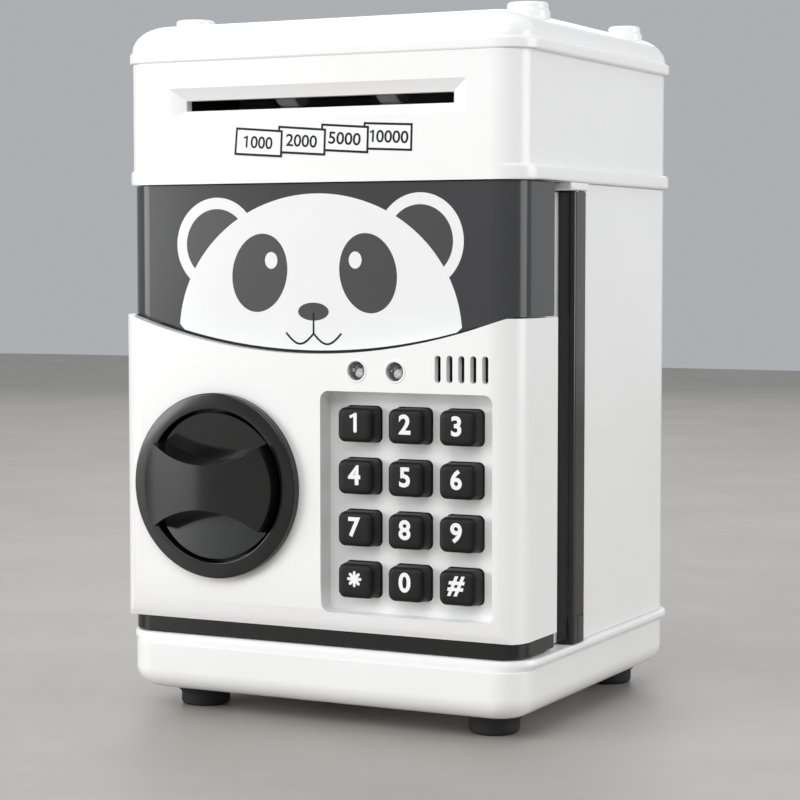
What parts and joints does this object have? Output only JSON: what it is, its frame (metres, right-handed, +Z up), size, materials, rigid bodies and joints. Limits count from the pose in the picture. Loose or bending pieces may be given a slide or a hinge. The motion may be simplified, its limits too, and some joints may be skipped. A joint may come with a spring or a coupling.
{
  "type": "toy atm savings bank",
  "caption": "Toy cash-machine money box with a hinged front door, keypad, turning knob lock, bill slot with motor feed and coin slot on top.",
  "frame": {"origin": "centre of the whole object's bounding box at the underside of the feet", "axes": "+Z up, -Y out of the front (keypad side), +X towards the hinge side"},
  "size_m": [0.1292, 0.1289, 0.2016],
  "materials": {
    "white_plastic": "glossy injection-moulded ABS, very slightly warm",
    "face_panel": "glossy dark grey printed panel",
    "black_plastic": "gloss black ABS",
    "key_rubber": "matte black silicone with white printed legends",
    "foot_rubber": "matte black rubber",
    "roller_rubber": "light grey rubber",
    "steel": "plain steel wire and sheet",
    "nylon": "natural nylon",
    "brass": "turned brass",
    "circuit_board": "green solder mask",
    "led_lens": "clear epoxy LED lens",
    "battery_skin": "plain printed sleeve",
    "motor_can": "drawn steel can",
    "speaker_cone": "pressed paper cone and frame",
    "guide_plastic": "grey acetal"
  },
  "bodies": {
    "cabinet": {"base_tray": "white_plastic", "cash_floor": "white_plastic", "body_shell": "white_plastic", "upper_housing": "white_plastic", "lid": "white_plastic", "feet": "foot_rubber", "battery_cover": "white_plastic", "battery_cover_screw": "steel", "batteries": "battery_skin", "battery_contacts": "steel", "case_screws": "steel", "feeder_deck": "white_plastic", "feeder_frame": "black_plastic", "feed_motor": "motor_can", "shaft_bushes": "brass", "coin_chute": "white_plastic", "hinge_rod": "steel", "strike_plate": "steel"},
    "door": {"door_shell": "white_plastic", "face_panel": "face_panel", "door_liner": "black_plastic", "hinge_leaf": "white_plastic", "hinge_bar": "black_plastic", "knob_ring": "black_plastic", "keypad_mat": "key_rubber", "keypad_board": "circuit_board", "led_left": "led_lens", "led_right": "led_lens", "speaker": "speaker_cone", "control_board": "circuit_board", "solenoid": "motor_can", "bolt_guide": "guide_plastic", "door_screws": "steel"},
    "knob": {"knob_rotor": "black_plastic", "knob_pinion": "nylon", "knob_clip": "steel"},
    "bolt": {"latch_bolt": "guide_plastic"},
    "pin": {"lock_pin": "steel", "pin_spring": "steel"},
    "feed_drive": {"drive_shaft": "steel", "drive_rollers": "roller_rubber", "drive_gear": "nylon"},
    "feed_idler": {"idler_shaft": "steel", "idler_rollers": "roller_rubber"},
    "motor_rotor": {"motor_shaft": "steel", "motor_pinion": "brass"},
    "key_1_body": {"key_1": "key_rubber"},
    "key_2_body": {"key_2": "key_rubber"},
    "key_3_body": {"key_3": "key_rubber"},
    "key_4_body": {"key_4": "key_rubber"},
    "key_5_body": {"key_5": "key_rubber"},
    "key_6_body": {"key_6": "key_rubber"},
    "key_7_body": {"key_7": "key_rubber"},
    "key_8_body": {"key_8": "key_rubber"},
    "key_9_body": {"key_9": "key_rubber"},
    "key_star_body": {"key_star": "key_rubber"},
    "key_0_body": {"key_0": "key_rubber"},
    "key_hash_body": {"key_hash": "key_rubber"}
  },
  "joints": [
    {"name": "door_hinge", "type": "hinge", "parent": "cabinet", "child": "door", "pos_m": [0.0614, -0.01165, 0.0863], "axis": [0, 0, 1], "range_deg": [0, 110]},
    {"name": "knob_turn", "type": "hinge", "parent": "door", "child": "knob", "pos_m": [-0.0292, -0.05215, 0.0674], "axis": [0, -1, 0], "range_deg": [0, 90]},
    {"name": "bolt_slide", "type": "slide", "parent": "door", "child": "bolt", "axis": [-1, 0, 0], "range_m": [0, 0.00755]},
    {"name": "pin_slide", "type": "slide", "parent": "door", "child": "pin", "axis": [0, 0, -1], "range_m": [0, 0.0026], "stiffness_N_per_m": 60, "springref_m": -0.0005, "deforming": ["pin_spring"]},
    {"name": "feed_spin", "type": "hinge", "parent": "cabinet", "child": "feed_drive", "pos_m": [0, -0.03485, 0.16875], "axis": [1, 0, 0], "continuous": true},
    {"name": "idler_spin", "type": "hinge", "parent": "cabinet", "child": "feed_idler", "pos_m": [0, -0.03485, 0.18085], "axis": [1, 0, 0], "continuous": true},
    {"name": "motor_spin", "type": "hinge", "parent": "cabinet", "child": "motor_rotor", "pos_m": [0.0525, -0.02446, 0.16275], "axis": [1, 0, 0], "continuous": true},
    {"name": "key_1_press", "type": "slide", "parent": "door", "child": "key_1_body", "axis": [0, 1, 0], "range_m": [0, 0.0015], "stiffness_N_per_m": 400},
    {"name": "key_2_press", "type": "slide", "parent": "door", "child": "key_2_body", "axis": [0, 1, 0], "range_m": [0, 0.0015], "stiffness_N_per_m": 400},
    {"name": "key_3_press", "type": "slide", "parent": "door", "child": "key_3_body", "axis": [0, 1, 0], "range_m": [0, 0.0015], "stiffness_N_per_m": 400},
    {"name": "key_4_press", "type": "slide", "parent": "door", "child": "key_4_body", "axis": [0, 1, 0], "range_m": [0, 0.0015], "stiffness_N_per_m": 400},
    {"name": "key_5_press", "type": "slide", "parent": "door", "child": "key_5_body", "axis": [0, 1, 0], "range_m": [0, 0.0015], "stiffness_N_per_m": 400},
    {"name": "key_6_press", "type": "slide", "parent": "door", "child": "key_6_body", "axis": [0, 1, 0], "range_m": [0, 0.0015], "stiffness_N_per_m": 400},
    {"name": "key_7_press", "type": "slide", "parent": "door", "child": "key_7_body", "axis": [0, 1, 0], "range_m": [0, 0.0015], "stiffness_N_per_m": 400},
    {"name": "key_8_press", "type": "slide", "parent": "door", "child": "key_8_body", "axis": [0, 1, 0], "range_m": [0, 0.0015], "stiffness_N_per_m": 400},
    {"name": "key_9_press", "type": "slide", "parent": "door", "child": "key_9_body", "axis": [0, 1, 0], "range_m": [0, 0.0015], "stiffness_N_per_m": 400},
    {"name": "key_star_press", "type": "slide", "parent": "door", "child": "key_star_body", "axis": [0, 1, 0], "range_m": [0, 0.0015], "stiffness_N_per_m": 400},
    {"name": "key_0_press", "type": "slide", "parent": "door", "child": "key_0_body", "axis": [0, 1, 0], "range_m": [0, 0.0015], "stiffness_N_per_m": 400},
    {"name": "key_hash_press", "type": "slide", "parent": "door", "child": "key_hash_body", "axis": [0, 1, 0], "range_m": [0, 0.0015], "stiffness_N_per_m": 400}
  ],
  "couplings": [
    {"joint": "bolt_slide", "follows": "knob_turn", "m_per_rad": 0.0048},
    {"joint": "idler_spin", "follows": "feed_spin", "ratio": -1},
    {"joint": "motor_spin", "follows": "feed_spin", "ratio": -3}
  ]
}
